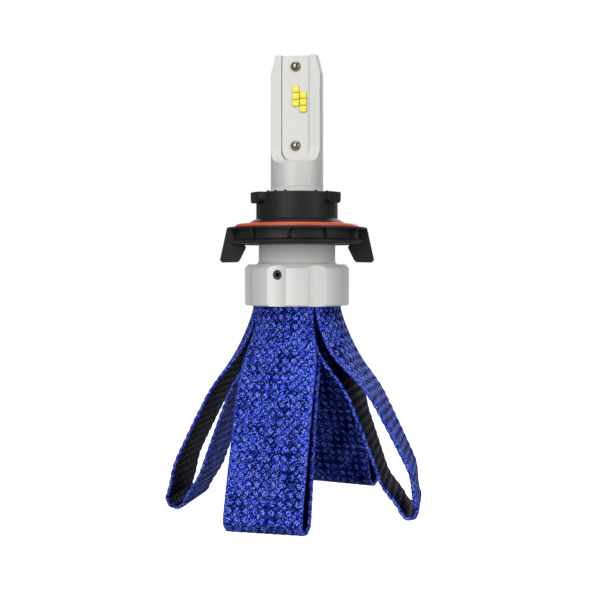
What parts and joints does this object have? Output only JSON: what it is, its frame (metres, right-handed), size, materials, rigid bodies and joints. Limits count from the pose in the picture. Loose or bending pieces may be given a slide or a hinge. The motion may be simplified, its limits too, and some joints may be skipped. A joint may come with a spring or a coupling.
{
  "type": "LED headlight bulb",
  "caption": "LED headlight bulb: a flat-sided alloy lamp post with chip boards, a tabbed black bayonet adapter with a seal, and blue braided cooling straps.",
  "frame": {"origin": "on the lamp's axis, in the plane of the flange face that seats on the lamp housing", "axes": "+Z along the lamp's axis towards its tip, -Y towards the front LED board before the post's small turn, +X to the right of that board seen from the front"},
  "size_m": [0.0877, 0.0749, 0.1501],
  "materials": {
    "satin_alloy": "satin",
    "plain_alloy": "satin",
    "black_steel": "satin",
    "black_rubber": "matte",
    "blue_braid": "satin",
    "copper": "satin",
    "thermal_pad": "matte",
    "board_white": "satin",
    "phosphor": "satin",
    "polished_steel": "polished",
    "wire_cover": "matte",
    "black_nylon": "satin",
    "orange_seal": "satin"
  },
  "bodies": {
    "heat_sink": {"heat_sink_body": "satin_alloy", "clamp_core": "plain_alloy", "clamp_screws": "black_steel", "lead_grommet": "black_rubber", "grip_ring": "black_rubber", "front_strap_ends": "blue_braid", "right_strap_ends": "blue_braid", "back_strap_ends": "blue_braid", "left_strap_ends": "blue_braid"},
    "post": {"lamp_post": "satin_alloy", "heat_pipes": "copper", "front_thermal_pad": "thermal_pad", "back_thermal_pad": "thermal_pad", "front_led_board": "board_white", "back_led_board": "board_white", "front_low_beam_chips": "phosphor", "back_low_beam_chips": "phosphor", "front_high_beam_chips": "phosphor", "back_high_beam_chips": "phosphor", "board_rivets": "polished_steel", "lead_wires": "wire_cover"},
    "adapter": {"adapter_base": "black_nylon", "seal_ring": "orange_seal"},
    "lock_screw": {"set_screw": "black_steel"},
    "front_loop": {"front_strap": "blue_braid"},
    "right_loop": {"right_strap": "blue_braid"},
    "back_loop": {"back_strap": "blue_braid"},
    "left_loop": {"left_strap": "blue_braid"}
  },
  "joints": [
    {"name": "adapter_twist", "type": "hinge", "parent": "heat_sink", "child": "adapter", "pos_m": [0, 0, 0], "axis": [0, 0, 1], "range_deg": [0, 40]},
    {"name": "post_turn", "type": "hinge", "parent": "heat_sink", "child": "post", "pos_m": [0, 0, 0.01], "axis": [0, 0, 1], "range_deg": [-90, 90]},
    {"name": "lock_screw_travel", "type": "slide", "parent": "heat_sink", "child": "lock_screw", "axis": [-0.3778, -0.9259, 0], "range_m": [0, 0.0025]},
    {"name": "front_loop_swing", "type": "hinge", "parent": "heat_sink", "child": "front_loop", "pos_m": [-0.00434, -0.01193, -0.0272], "axis": [-0.9397, 0.342, 0], "range_deg": [-4, 55]},
    {"name": "right_loop_swing", "type": "hinge", "parent": "heat_sink", "child": "right_loop", "pos_m": [0.01227, -0.00329, -0.0272], "axis": [-0.2588, -0.9659, 0], "range_deg": [-2, 45]},
    {"name": "back_loop_swing", "type": "hinge", "parent": "heat_sink", "child": "back_loop", "pos_m": [0.00547, 0.01146, -0.0272], "axis": [0.9026, -0.4305, 0], "range_deg": [-2, 45]},
    {"name": "left_loop_swing", "type": "hinge", "parent": "heat_sink", "child": "left_loop", "pos_m": [-0.01237, 0.00286, -0.0272], "axis": [0.225, 0.9744, 0], "range_deg": [-5, 45]}
  ]
}
